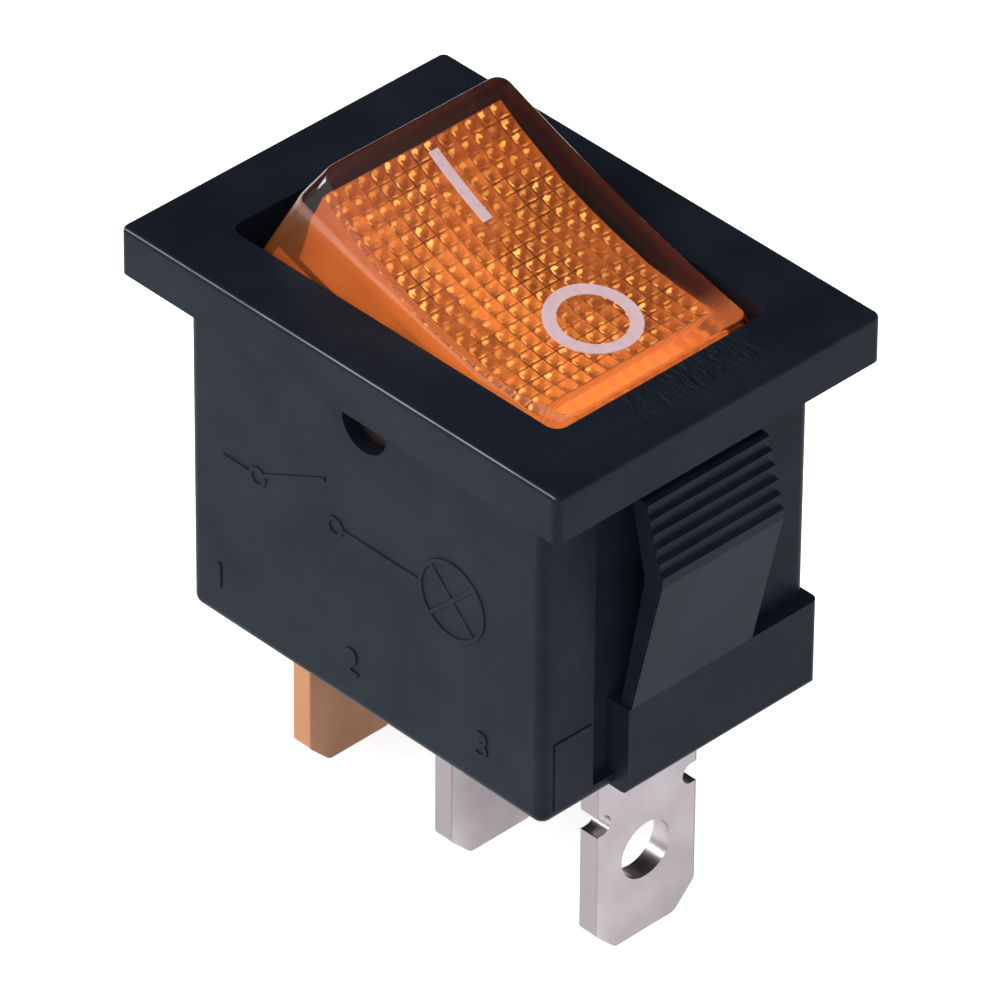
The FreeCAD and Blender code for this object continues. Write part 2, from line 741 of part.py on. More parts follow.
def make_neon_bulb():
    """Glass tube with one domed end and one pressed seal round the two leads."""
    start = bulb_start
    axis_y = bulb_offset
    dome_x = bulb_end - bulb_radius
    outer = rod(vec(start, axis_y, bulb_axis), vec(dome_x, axis_y, bulb_axis), bulb_radius)
    outer = outer.fuse(Part.makeSphere(bulb_radius, vec(dome_x, axis_y, bulb_axis)))
    hollow_radius = bulb_radius - bulb_wall
    inner = rod(vec(start + bulb_seal, axis_y, bulb_axis), vec(dome_x, axis_y, bulb_axis), hollow_radius)
    inner = inner.fuse(Part.makeSphere(hollow_radius, vec(dome_x, axis_y, bulb_axis)))
    squeeze = box(start - 1, start + bulb_seal * 0.7, axis_y - 3, axis_y + 3, bulb_axis + 0.6, bulb_axis + 3)
    lower = box(start - 1, start + bulb_seal * 0.7, axis_y - 3, axis_y + 3, bulb_axis - 3, bulb_axis - 0.6)
    bulb = outer.cut(inner).cut(squeeze).cut(lower)
    for side in (-1, 1):
        y = axis_y + side * electrode_spacing / 2
        bulb = bulb.cut(rod(vec(start - 1, y, bulb_axis), vec(start + bulb_seal + 0.5, y, bulb_axis), lead_radius))
    return seated(bulb.removeSplitter())


def make_resistor_body():
    """Film resistor with its two thicker end caps."""
    half = resistor_length / 2
    centre = vec(0, resistor_offset, resistor_axis)
    body = rod(centre - vec(half, 0, 0), centre + vec(half, 0, 0), resistor_waist)
    for side in (-1, 1):
        cap = rod(centre + vec(side * half, 0, 0), centre + vec(side * (half - 1.0), 0, 0), resistor_radius)
        body = body.fuse(cap)
    body = rounded(body.removeSplitter(), 0.25, lambda edge: abs(abs(edge.CenterOfMass.x) - half) < 1e-6)
    return seated(body)


def make_resistor_lead_a():
    """Short lead into the sleeve."""
    start = vec(-resistor_length / 2, resistor_offset, resistor_axis)
    return seated(rod(start, vec(sleeve_middle, resistor_offset, resistor_axis), lead_radius))


def make_resistor_lead_b():
    """Lead that goes down to the second pad."""
    start = vec(resistor_length / 2, resistor_offset, resistor_axis)
    x = lamp_spring_place
    turn = vec(x - 0.2, resistor_offset, resistor_axis)
    points = [start, turn, vec(x, load_spring_offset, resistor_axis - 0.4)]
    points.append(vec(x, load_spring_offset, carrier_floor - pad_thickness / 2))
    return seated(wire_path(points, lead_radius).fuse(pad(x, load_spring_offset)).removeSplitter())


def make_joint_sleeve():
    """Insulating sleeve over the joint of the two leads."""
    half = sleeve_length / 2
    centre = vec(sleeve_middle, resistor_offset, resistor_axis)
    outer = rod(centre - vec(half - 0.35, 0, 0), centre + vec(half - 0.35, 0, 0), sleeve_radius)
    return seated(outer.cut(rod(centre - vec(half, 0, 0), centre + vec(half, 0, 0), lead_radius + sleeve_clearance)))


PARTS = {
    "case": make_case,
    "rocker_cap": make_rocker_cap,
    "on_mark": make_on_mark,
    "off_mark": make_off_mark,
    "lamp_carrier": make_lamp_carrier,
    "plunger": make_plunger,
    "plunger_spring": make_plunger_spring,
    "contact_lever": make_contact_lever,
    "moving_contact": make_moving_contact,
    "fixed_contact": make_fixed_contact,
    "common_terminal": make_common_terminal,
    "load_terminal": make_load_terminal,
    "lamp_terminal": make_lamp_terminal,
    "neutral_spring": make_neutral_spring,
    "load_spring": make_load_spring,
    "neon_bulb": make_neon_bulb,
    "neon_electrode_a": make_neon_electrode_a,
    "neon_electrode_b": make_neon_electrode_b,
    "resistor_body": make_resistor_body,
    "resistor_lead_a": make_resistor_lead_a,
    "resistor_lead_b": make_resistor_lead_b,
    "joint_sleeve": make_joint_sleeve,
}

os.makedirs("parts", exist_ok=True)
for name, make in PARTS.items():
    solid = make()
    solid.exportStep(f"parts/{name}.step")
    print(name, solid.ShapeType, len(solid.Solids), round(solid.Volume, 3), solid.isValid())
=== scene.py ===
import math

import bmesh
import bpy
import numpy as np
from mathutils import Matrix, Vector


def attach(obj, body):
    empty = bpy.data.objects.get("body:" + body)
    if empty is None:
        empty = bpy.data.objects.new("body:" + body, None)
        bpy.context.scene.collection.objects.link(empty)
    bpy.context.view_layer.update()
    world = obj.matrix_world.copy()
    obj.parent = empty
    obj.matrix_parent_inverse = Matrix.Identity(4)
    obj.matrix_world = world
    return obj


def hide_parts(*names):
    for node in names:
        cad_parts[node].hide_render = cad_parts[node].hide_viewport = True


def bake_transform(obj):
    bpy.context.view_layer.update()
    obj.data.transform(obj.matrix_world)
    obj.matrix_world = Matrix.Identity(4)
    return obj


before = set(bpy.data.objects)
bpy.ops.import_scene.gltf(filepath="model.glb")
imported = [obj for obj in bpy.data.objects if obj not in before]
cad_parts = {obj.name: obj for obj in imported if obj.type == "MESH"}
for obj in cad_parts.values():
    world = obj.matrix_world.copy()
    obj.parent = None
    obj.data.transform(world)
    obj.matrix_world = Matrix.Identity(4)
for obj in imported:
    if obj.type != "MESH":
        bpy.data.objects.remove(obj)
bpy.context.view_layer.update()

MM = 0.001

# Sizes shared with the solids, in millimetres. The bezel's underside lies at Z 0
half_tilt = math.radians(17.87)
pivot_z = -1.45
dish_height = 4.53
dish_radius = 18.7
cap_top_wall = 0.95
cap_half_width = 4.85
# Where the cap's walls start to take the painted glow, along the upright length
cap_painted_glow_from = 4.7
collar_height = 1.6
floor_level = -21.9
bezel_thickness = 1.9
bezel_half_length = 10.5
bezel_half_width = 7.5
body_half_width = 6.18
blade_width = 4.7
blade_offset = -0.1

# Prism grid under the cap, in the rocker's upright frame
prism_pitch = 0.605
prism_columns = 18
prism_rows = 13
prism_start = (-5.70, -4.175)
prism_end = prism_start[0] + prism_columns * prism_pitch
prism_cut = 0.02
cutter_floor = 3.3

# Painted glints, as bright petals in a prism's cell, in shares of it: the middle, the half size, the chance
# that each follows and its strongest light. Two lie at the low corner, on either side of the ridge, and one
# across from them
petals = [
    ((0.17, 0.38), (0.11, 0.22), "Red", 1.5),
    ((0.38, 0.16), (0.20, 0.10), "Green", 1.4),
    ((0.85, 0.60), (0.09, 0.24), "Blue", 0.8),
]
# The facet darkened as painted shade: its middle, half size and turn in degrees
painted_shade_facet = ((0.45, 0.66), (0.42, 0.15), -45)

# Moulded lines and numbers on the near side of the body
line_half_width = 0.11
line_top_share = 0.7
line_height = 0.05
line_root = 0.04
line_steps = 6
figure_height = 1.5
figure_level = -11.7
figures = {"1": -7.14, "2": -0.59, "3": 5.74}

# Circuit symbol on that side: the level of its middle, places along X, radii, and the open arm's two ends
symbol_level = -6.4
feed_start = -6.9
left_pole = -5.2
right_pole = -1.4
pole_radius = 0.34
lamp_middle = 4.24
lamp_radius = 1.5
arm_foot = (-4.93, -6.2)
arm_tip = (-1.9, -4.7)

# Coil springs: the body and place of the foot, the body and place of the head, radius, wire and turns
springs = {
    "neutral_spring": ("switch_body", (-5.0, 0, -7.85), "rocker", (-4.99, 0, -0.87), 0.65, 0.22, 9),
    "load_spring": ("switch_body", (4.76, 3.4, -10.58), "rocker", (4.53, 3.4, -3.94), 0.65, 0.22, 9),
    "plunger_spring": ("plunger_pin", (-0.782, 0, -3.877), "rocker", (-0.107, 0, -1.783), 0.75, 0.2, 5.5),
}
coil_steps = 28
wire_sides = 10
closed_wires = 1.45

# Camera fitted to the photograph: degrees, millimetres, and its focal length in the photograph's pixels
camera_turn, camera_lift, camera_roll = 45.760, 37.005, 0.519
camera_distance = 372.407
camera_aside, camera_above = 0.045, -6.165
focal_pixels = 11165.676
photo_pixels = 1000
sensor_width = 36

# Strength of the painted glow on the tray under the prisms, which stands in for outside light coming in
# through the cap
glow = 1.15

polycarbonate_ior = 1.57


def linear(code):
    """An sRGB hex colour as linear red, green, blue and a full alpha."""
    parts = np.array([int(code[i:i + 2], 16) for i in (0, 2, 4)]) / 255
    low = parts / 12.92
    high = ((parts + 0.055) / 1.055) ** 2.4
    return (*np.where(parts <= 0.04045, low, high), 1.0)


def feed(tree, made, **links):
    """Gives inputs of a node, by name or by number as in _0, a socket or a value each."""
    for name, value in links.items():
        socket = made.inputs[int(name[1:])] if name[0] == "_" else made.inputs[name.replace("_", " ")]
        if isinstance(value, bpy.types.NodeSocket):
            tree.links.new(value, socket)
        else:
            socket.default_value = value


def node(tree, kind, settings=None, stops=(), **links):
    """Adds a node with its settings, a colour ramp's stops as places with hex colours, and its links."""
    made = tree.nodes.new(kind)
    for name, value in (settings or {}).items():
        setattr(made, name, value)
    if stops:
        for spot, _ in stops[2:]:
            made.color_ramp.elements.new(spot)
        for stop, (spot, code) in zip(made.color_ramp.elements, stops):
            stop.position, stop.color = spot, linear(code)
    feed(tree, made, **links)
    return made


def blank(name):
    """A new material with its tree, its main shader and its Object coordinates."""
    made = bpy.data.materials.new(name)
    made.use_nodes = True
    tree = made.node_tree
    shader = tree.nodes["Principled BSDF"]
    place = node(tree, "ShaderNodeTexCoord").outputs["Object"]
    return made, tree, shader, place


def upright(tree, place, scale=1.0):
    """Turns a place back by half the rocker's tilt about Y, into its upright frame, and scales it."""
    return node(tree, "ShaderNodeMapping", Vector=place, Rotation=(0, -half_tilt, 0),
                Scale=(scale, scale, scale)).outputs["Vector"]


def grain(size):
    """Texture scale for features of a size in millimetres."""
    return 1 / (size * MM)


def added(name, data):
    """A new object of the scene, at the origin."""
    made = bpy.data.objects.new(name, data)
    bpy.context.collection.objects.link(made)
    return made


# Finishes

def zone(tree, axes, edges):
    """1 inside a box with soft sides and 0 outside it. Each edge is an axis and its places of 0 and of 1."""
    share = 1.0
    for axis, outside, inside in edges:
        side = node(tree, "ShaderNodeMapRange", {"interpolation_type": "SMOOTHSTEP"},
                    Value=axes.outputs[axis], From_Min=outside * MM, From_Max=inside * MM)
        share = node(tree, "ShaderNodeMath", {"operation": "MULTIPLY"}, _0=side.outputs["Result"],
                     _1=share).outputs["Value"]
    return share


def black_nylon():
    """Glass-filled nylon from a spark-eroded mould: near black, with a soft sheen broken by tiny grain, and a
    painted highlight: a light grey line on the round over the bezel's near side, where a light catches that
    edge. The real grain is too fine to show, so it is drawn about 0.09 mm wide."""
    made, tree, shader, place = blank("black_nylon")
    axes = node(tree, "ShaderNodeSeparateXYZ", Vector=place)
    shade = node(tree, "ShaderNodeTexNoise", Vector=place, Scale=grain(3), Detail=4.0)
    colour = node(tree, "ShaderNodeValToRGB", stops=[(0.35, "11161e"), (0.7, "181e27")],
                  Fac=shade.outputs["Fac"])
    broken = node(tree, "ShaderNodeMapRange", Value=shade.outputs["Fac"], From_Min=0.3, From_Max=0.55,
                  To_Min=0.3)
    # Painted highlight: a light grey line on the round over the bezel's near top edge, broken by the grain
    near, top = -bezel_half_width, bezel_thickness
    painted_highlight_band = zone(tree, axes, [("Y", near + 0.035, near + 0.05), ("Y", near + 0.085, near + 0.07),
                             ("Z", top - 0.11, top - 0.09)])
    painted_highlight = node(tree, "ShaderNodeMath", {"operation": "MULTIPLY"}, _0=broken.outputs["Result"], _1=painted_highlight_band)
    highlighted_colour = node(tree, "ShaderNodeMix", {"data_type": "RGBA"}, _0=painted_highlight.outputs["Value"],
                 _6=colour.outputs["Color"], _7=linear("70707a"))
    fine = node(tree, "ShaderNodeTexNoise", Vector=place, Scale=grain(0.09), Detail=3.0)
    polish = node(tree, "ShaderNodeMapRange", Value=fine.outputs["Fac"], To_Min=0.34, To_Max=0.48)
    relief = node(tree, "ShaderNodeBump", Height=fine.outputs["Fac"], Distance=0.004 * MM, Strength=0.6)
    feed(tree, shader, Base_Color=highlighted_colour.outputs[2], Roughness=polish.outputs["Result"],
         Normal=leather(tree, place, axes, relief.outputs["Normal"]), Specular_IOR_Level=0.05)
    return made


def leather(tree, place, axes, normal):
    """Fine creases on the bezel's top between the off end and the edge, left by a worn patch of the mould."""
    end, top = bezel_half_length, bezel_thickness
    patch = zone(tree, axes, [("X", end - 3.2, end - 2.3), ("X", end - 0.4, end - 1.5), ("Y", -4.2, -1.6),
                              ("Y", 4.4, 2.6), ("Z", top - 0.04, top - 0.01)])
    bend = node(tree, "ShaderNodeTexNoise", Vector=place, Scale=grain(1.4), Detail=2.0)
    shift = node(tree, "ShaderNodeVectorMath", {"operation": "SCALE"}, _0=bend.outputs["Color"],
                 Scale=1.2 * MM)
    moved = node(tree, "ShaderNodeVectorMath", {"operation": "ADD"}, _0=place, _1=shift.outputs["Vector"])
    stretch = node(tree, "ShaderNodeMapping", Vector=moved.outputs["Vector"], Scale=(0.32, 1.0, 1.0))
    folds = node(tree, "ShaderNodeTexNoise", Vector=stretch.outputs["Vector"], Scale=grain(0.26), Detail=3.0,
                 Distortion=0.6)
    return node(tree, "ShaderNodeBump", Height=folds.outputs["Fac"], Distance=0.24 * MM, Normal=normal,
                Strength=patch).outputs["Normal"]


def amber_polycarbonate(name, first, second, roughness, clear, depth, light=None):
    """Amber polycarbonate: glass-like where the mould was polished, and milky where it was blasted. Its
    colour goes from the first at the on end to the second at the off end, with a soft cloud in it; where the
    two differ much, the change from dark to light is painted shade. A painted glow, if given, stands in for
    outside light coming in through the cap: it grows between two places, from one strength to another, in
    flutes as wide as a prism."""
    made, tree, shader, place = blank(name)
    cloud = node(tree, "ShaderNodeTexNoise", Vector=place, Scale=grain(2.5), Detail=3.0)
    axes = node(tree, "ShaderNodeSeparateXYZ", Vector=upright(tree, place))
    mixed = node(tree, "ShaderNodeMath", {"operation": "MULTIPLY_ADD"}, _0=cloud.outputs["Fac"], _1=2 * MM,
                 _2=axes.outputs["X"])
    share = node(tree, "ShaderNodeMapRange", Value=mixed.outputs["Value"], From_Min=-5 * MM, From_Max=6 * MM)
    colour = node(tree, "ShaderNodeValToRGB", stops=[(0.0, first), (1.0, second)],
                  Fac=share.outputs["Result"])
    ripple = node(tree, "ShaderNodeTexNoise", Vector=place, Scale=grain(1.2), Detail=2.0)
    relief = node(tree, "ShaderNodeBump", Height=ripple.outputs["Fac"], Distance=depth * MM,
                  Strength=0.5)
    # Painted glow: an orange emission that stands in for outside light coming in through the cap
    if light:
        start, end, low, high = light
        painted_glow_strength = node(tree, "ShaderNodeMapRange", Value=mixed.outputs["Value"], From_Min=start * MM,
                     From_Max=end * MM, To_Min=low, To_Max=high)
        turn = node(tree, "ShaderNodeMath", {"operation": "MULTIPLY"}, _0=axes.outputs["Y"],
                    _1=2 * math.pi / (prism_pitch * MM))
        wave = node(tree, "ShaderNodeMath", {"operation": "SINE"}, _0=turn.outputs["Value"])
        flute = node(tree, "ShaderNodeMapRange", Value=wave.outputs["Value"], From_Min=-1.0, To_Min=0.62)
        fluted = node(tree, "ShaderNodeMath", {"operation": "MULTIPLY"}, _0=painted_glow_strength.outputs["Result"],
                      _1=flute.outputs["Result"])
        feed(tree, shader, Emission_Strength=fluted.outputs["Value"], Emission_Color=linear("ffb080"))
    feed(tree, shader, Base_Color=colour.outputs["Color"], Normal=relief.outputs["Normal"],
         Transmission_Weight=clear, Roughness=roughness, Specular_IOR_Level=0.25, IOR=polycarbonate_ior)
    return made


def petal(tree, inside, middle, size, turn=0.0):
    """1 in an oval of a prism's cell and 0 outside it, with a soft edge."""
    shape = node(tree, "ShaderNodeMapping", {"vector_type": "TEXTURE"}, Vector=inside, Location=(*middle, 0),
                 Scale=(*size, 1), Rotation=(0, 0, math.radians(turn)))
    away = node(tree, "ShaderNodeVectorMath", {"operation": "LENGTH"}, _0=shape.outputs["Vector"])
    return node(tree, "ShaderNodeMapRange", {"interpolation_type": "SMOOTHSTEP"}, Value=away.outputs["Value"],
                From_Min=1.25, From_Max=0.75).outputs["Result"]


def moulded_prisms():
    """Clear amber polycarbonate with the mould's small pyramids: hazy orange facets, a thin valley round each
    pyramid and one dull facet in each cell, both darkened as painted shade, and painted glints: yellow petals
    of emitted light where a facet would send the light straight back."""
    made, tree, shader, place = blank("amber_prisms")
    # Places in shares of a cell, with its own chances, and a little sway that bends the petals
    cells = upright(tree, place, grain(prism_pitch))
    start = (pivot_z * math.sin(half_tilt) - prism_start[0], -prism_start[1], 0)
    shifted = node(tree, "ShaderNodeVectorMath", {"operation": "ADD"}, _0=cells,
                   _1=tuple(v / prism_pitch for v in start))
    flat = node(tree, "ShaderNodeVectorMath", {"operation": "MULTIPLY"}, _0=shifted.outputs["Vector"],
                _1=(1, 1, 0)).outputs["Vector"]
    cell = node(tree, "ShaderNodeVectorMath", {"operation": "FLOOR"}, _0=flat)
    chance = node(tree, "ShaderNodeTexWhiteNoise", {"noise_dimensions": "3D"}, Vector=cell.outputs["Vector"])
    chances = node(tree, "ShaderNodeSeparateColor", Color=chance.outputs["Color"])
    uneven = node(tree, "ShaderNodeTexNoise", Vector=flat, Scale=4.0, Detail=1.0)
    sway = node(tree, "ShaderNodeVectorMath", {"operation": "MULTIPLY_ADD"}, _0=uneven.outputs["Color"],
                _1=(0.3, 0.3, 0), _2=(-0.15, -0.15, 0))
    whole = node(tree, "ShaderNodeVectorMath", {"operation": "FRACTION"}, _0=flat).outputs["Vector"]
    inside = node(tree, "ShaderNodeVectorMath", {"operation": "ADD"}, _0=whole,
                  _1=sway.outputs["Vector"]).outputs["Vector"]
    patches = node(tree, "ShaderNodeTexNoise", Vector=flat, Scale=0.22, Detail=2.0)
    crisp = node(tree, "ShaderNodeMapRange", Value=patches.outputs["Fac"], From_Min=0.4,
                 From_Max=0.6).outputs["Result"]
    # The brightest painted glint at each place, drawn as emission
    spark = 0.0
    for middle, size, channel, most in petals:
        power = node(tree, "ShaderNodeMapRange", Value=chances.outputs[channel], To_Min=0.15, To_Max=most)
        lit = node(tree, "ShaderNodeMath", {"operation": "MULTIPLY"}, _0=petal(tree, inside, middle, size),
                   _1=power.outputs["Result"])
        spark = node(tree, "ShaderNodeMath", {"operation": "MAXIMUM"}, _0=lit.outputs["Value"],
                     _1=spark).outputs["Value"]
    contrast = node(tree, "ShaderNodeMapRange", Value=crisp, To_Min=0.45, To_Max=1.1)
    painted_highlight = node(tree, "ShaderNodeMath", {"operation": "MULTIPLY"}, _0=spark, _1=contrast.outputs["Result"])
    # Painted shade: valleys, by the distance to the nearest side of the cell, and the dull facet
    offset = node(tree, "ShaderNodeVectorMath", {"operation": "SUBTRACT"}, _0=whole, _1=(0.5, 0.5, 0))
    spread = node(tree, "ShaderNodeVectorMath", {"operation": "ABSOLUTE"}, _0=offset.outputs["Vector"])
    sides = node(tree, "ShaderNodeSeparateXYZ", Vector=spread.outputs["Vector"])
    rim = node(tree, "ShaderNodeMath", {"operation": "MAXIMUM"}, _0=sides.outputs["X"], _1=sides.outputs["Y"])
    valley = node(tree, "ShaderNodeMapRange", {"interpolation_type": "SMOOTHSTEP"},
                  Value=rim.outputs["Value"], From_Min=0.43, From_Max=0.48)
    dim = node(tree, "ShaderNodeMath", {"operation": "MULTIPLY"}, _0=petal(tree, inside, *painted_shade_facet), _1=0.5)
    dark = node(tree, "ShaderNodeMath", {"operation": "MAXIMUM"}, _0=valley.outputs["Result"],
                _1=dim.outputs["Value"])
    line = node(tree, "ShaderNodeMath", {"operation": "MULTIPLY"}, _0=dark.outputs["Value"], _1=crisp)
    colour = node(tree, "ShaderNodeValToRGB", stops=[(0.0, "fcc49a"), (0.9, "4c2a1a")],
                  Fac=line.outputs["Value"])
    relief = node(tree, "ShaderNodeBump", Height=uneven.outputs["Fac"], Distance=0.03 * MM, Strength=0.5)
    feed(tree, shader, Base_Color=colour.outputs["Color"], Normal=relief.outputs["Normal"], Roughness=0.35,
         Transmission_Weight=0.4, IOR=polycarbonate_ior, Emission_Color=linear("ffe6a0"),
         Emission_Strength=painted_highlight.outputs["Value"])
    return made


def mark_ink():
    """Pad-printed pinkish white ink: satin, a little uneven, with a faint warm cast from below."""
    made, tree, shader, place = blank("mark_ink")
    mottle = node(tree, "ShaderNodeTexNoise", Vector=place, Scale=grain(0.25), Detail=4.0)
    colour = node(tree, "ShaderNodeValToRGB", stops=[(0.3, "c8a9ad"), (0.7, "d2b6ba")],
                  Fac=mottle.outputs["Fac"])
    relief = node(tree, "ShaderNodeBump", Height=mottle.outputs["Fac"], Distance=0.003 * MM, Strength=0.5)
    feed(tree, shader, Base_Color=colour.outputs["Color"], Normal=relief.outputs["Normal"], Roughness=0.42)
    return made


def natural_nylon(name):
    """Undyed nylon: milky off-white, soft sheen, fine moulded grain."""
    made, tree, shader, place = blank(name)
    cloud = node(tree, "ShaderNodeTexNoise", Vector=place, Scale=grain(1.5), Detail=3.0)
    colour = node(tree, "ShaderNodeValToRGB", stops=[(0.3, "e9e2d2"), (0.7, "f2ede0")],
                  Fac=cloud.outputs["Fac"])
    fine = node(tree, "ShaderNodeTexNoise", Vector=place, Scale=grain(0.1), Detail=2.0)
    relief = node(tree, "ShaderNodeBump", Height=fine.outputs["Fac"], Distance=0.005 * MM, Strength=0.5)
    feed(tree, shader, Base_Color=colour.outputs["Color"], Normal=relief.outputs["Normal"], Roughness=0.45)
    return made, tree, shader, place


def glowing_nylon():
    """Undyed nylon whose upper side carries a painted glow, a warm emission that stands in for outside light
    coming in through the cap, so the prisms over it stay orange. The painted glow fades at the tray's rim,
    and towards the on end and the far wall."""
    made, tree, shader, place = natural_nylon("glowing_nylon")
    axes = node(tree, "ShaderNodeSeparateXYZ", Vector=upright(tree, place))
    # Painted glow: warm emission on the tray's upper side, with soft edges
    level = pivot_z * math.cos(half_tilt) + 0.2
    share = glow
    for axis, dark, bright in (("Z", level, level + 0.08), ("X", -6.2, -5.4), ("Y", 3.9, 3.3)):
        part = node(tree, "ShaderNodeMapRange", Value=axes.outputs[axis], From_Min=dark * MM,
                    From_Max=bright * MM)
        share = node(tree, "ShaderNodeMath", {"operation": "MULTIPLY"}, _0=part.outputs["Result"],
                     _1=share).outputs["Value"]
    feed(tree, shader, Emission_Color=linear("ffcf9c"), Emission_Strength=share)
    return made


def rolled_metal(name, first, second, roughness, along, edge=None):
    """Sheet metal as it leaves the rolls: fine lines along one direction, drawn coarser than the real ones so
    that they show, and soft cloudy changes of tone. A blade's stamped edges, that lie away from its middle,
    may have a colour of their own, set by how the light falls on them: painted light and shade against the
    faces."""
    made, tree, shader, place = blank(name)
    cloud = node(tree, "ShaderNodeTexNoise", Vector=place, Scale=grain(2.0), Detail=3.0)
    colour = node(tree, "ShaderNodeValToRGB", stops=[(0.3, first), (0.7, second)],
                  Fac=cloud.outputs["Fac"]).outputs["Color"]
    # Painted light and shade: the stamped edges get a tone of their own against the faces
    if edge:
        across = node(tree, "ShaderNodeSeparateXYZ", Vector=place).outputs["Y"]
        beside = node(tree, "ShaderNodeMath", {"operation": "ADD"}, _0=across, _1=-blade_offset * MM)
        away = node(tree, "ShaderNodeMath", {"operation": "ABSOLUTE"}, _0=beside.outputs["Value"])
        share = node(tree, "ShaderNodeMapRange", Value=away.outputs["Value"],
                     From_Min=(blade_width / 2 - 0.08) * MM, From_Max=(blade_width / 2 - 0.04) * MM)
        colour = node(tree, "ShaderNodeMix", {"data_type": "RGBA"}, _0=share.outputs["Result"], _6=colour,
                      _7=linear(edge)).outputs[2]
    drawn = node(tree, "ShaderNodeMapping", Vector=place, Scale=along)
    lines = node(tree, "ShaderNodeTexNoise", Vector=drawn.outputs["Vector"], Scale=grain(0.12), Detail=3.0)
    polish = node(tree, "ShaderNodeMapRange", Value=lines.outputs["Fac"], To_Min=roughness - 0.07,
                  To_Max=roughness + 0.09)
    relief = node(tree, "ShaderNodeBump", Height=lines.outputs["Fac"], Distance=0.002 * MM, Strength=0.6)
    feed(tree, shader, Base_Color=colour, Roughness=polish.outputs["Result"],
         Normal=relief.outputs["Normal"], Metallic=1.0)
    return made


def lamp_glass():
    """Drawn soda glass: clear, with faint waves along the tube."""
    made, tree, shader, place = blank("lamp_glass")
    waves = node(tree, "ShaderNodeTexNoise", Vector=place, Scale=grain(1.0), Detail=1.0)
    relief = node(tree, "ShaderNodeBump", Height=waves.outputs["Fac"], Distance=0.01 * MM, Strength=0.4)
    colour = node(tree, "ShaderNodeValToRGB", stops=[(0.3, "f4f4f2"), (0.7, "fbfbfa")],
                  Fac=waves.outputs["Fac"])
    feed(tree, shader, Base_Color=colour.outputs["Color"], Normal=relief.outputs["Normal"], Roughness=0.02,
         Transmission_Weight=1.0, IOR=1.5)
    return made


def resistor_lacquer():
    """Blue-green lacquer over a film resistor, with four painted value bands round it."""
    made, tree, shader, place = blank("resistor_lacquer")
    length = node(tree, "ShaderNodeSeparateXYZ", Vector=upright(tree, place)).outputs["X"]
    share = node(tree, "ShaderNodeMapRange", Value=length, From_Min=-2.4 * MM, From_Max=1.4 * MM)
    ground = "6f9aa3"
    bands = node(tree, "ShaderNodeValToRGB", Fac=share.outputs["Result"], stops=[
        (0.0, ground), (0.2, "c9822a"), (0.28, ground), (0.38, "d9b13a"), (0.46, ground),
        (0.56, "8a5a2c"), (0.64, ground), (0.8, "b08d3c"), (0.88, ground)])
    bands.color_ramp.interpolation = "CONSTANT"
    speck = node(tree, "ShaderNodeTexNoise", Vector=place, Scale=grain(0.2), Detail=2.0)
    relief = node(tree, "ShaderNodeBump", Height=speck.outputs["Fac"], Distance=0.01 * MM, Strength=0.4)
    feed(tree, shader, Base_Color=bands.outputs["Color"], Normal=relief.outputs["Normal"], Roughness=0.25)
    return made


def sleeve_plastic():
    """Soft insulating tube: milky, with a dull skin."""
    made, tree, shader, place = blank("sleeve_plastic")
    cloud = node(tree, "ShaderNodeTexNoise", Vector=place, Scale=grain(0.5), Detail=3.0)
    colour = node(tree, "ShaderNodeValToRGB", stops=[(0.3, "c8c6b8"), (0.7, "d6d4c8")],
                  Fac=cloud.outputs["Fac"])
    relief = node(tree, "ShaderNodeBump", Height=cloud.outputs["Fac"], Distance=0.01 * MM, Strength=0.4)
    feed(tree, shader, Base_Color=colour.outputs["Color"], Normal=relief.outputs["Normal"], Roughness=0.5)
    return made


def paper_white():
    """Matt white studio paper with a barely visible tooth."""
    made, tree, shader, place = blank("studio_paper")
    tooth = node(tree, "ShaderNodeTexNoise", Vector=place, Scale=grain(2), Detail=3.0)
    colour = node(tree, "ShaderNodeValToRGB", stops=[(0.3, "f7f7f7"), (0.7, "fbfbfb")],
                  Fac=tooth.outputs["Fac"])
    feed(tree, shader, Base_Color=colour.outputs["Color"], Roughness=0.9, Emission_Color=(1, 1, 1, 1),
         Emission_Strength=0.7)
    return made


# Shapes

def add_piece(name, points, faces, material, body):
    """Makes an object at the origin from points in millimetres and gives it its finish and its body."""
    mesh = bpy.data.meshes.new(name)
    mesh.from_pydata((np.asarray(points) * MM).tolist(), [], faces)
    mesh.update()
    mesh.materials.append(material)
    piece = added(name, mesh)
    if body:
        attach(piece, body)
    return piece


def shade_by_angle(mesh, degrees, domed=()):
    """Smooth shading, apart from the edges whose faces meet at more than an angle. Ridges between faces of
    a domed finish stay smooth."""
    shape = bmesh.new()
    shape.from_mesh(mesh)
    for face in shape.faces:
        face.smooth = True
    for edge in shape.edges:
        same = all(face.material_index in domed for face in edge.link_faces)
        ridge = same and edge.calc_face_angle_signed(0) > 0
        edge.smooth = ridge or edge.calc_face_angle(0) < math.radians(degrees)
    shape.to_mesh(mesh)
    shape.free()


def seated(points):
    """Turns points of the rocker's upright frame by half its tilt about Y and drops them to the pivot."""
    x, y, z = np.moveaxis(np.asarray(points, float), -1, 0)
    c, s = math.cos(half_tilt), math.sin(half_tilt)
    return np.stack([x * c + z * s, y, pivot_z - x * s + z * c], axis=-1)


def ceiling(x):
    """Height of the cap's inner top at a place along it: a circle arc about the dish's own centre."""
    radius = dish_radius + cap_top_wall
    return dish_height + dish_radius - np.sqrt(radius ** 2 - x ** 2)


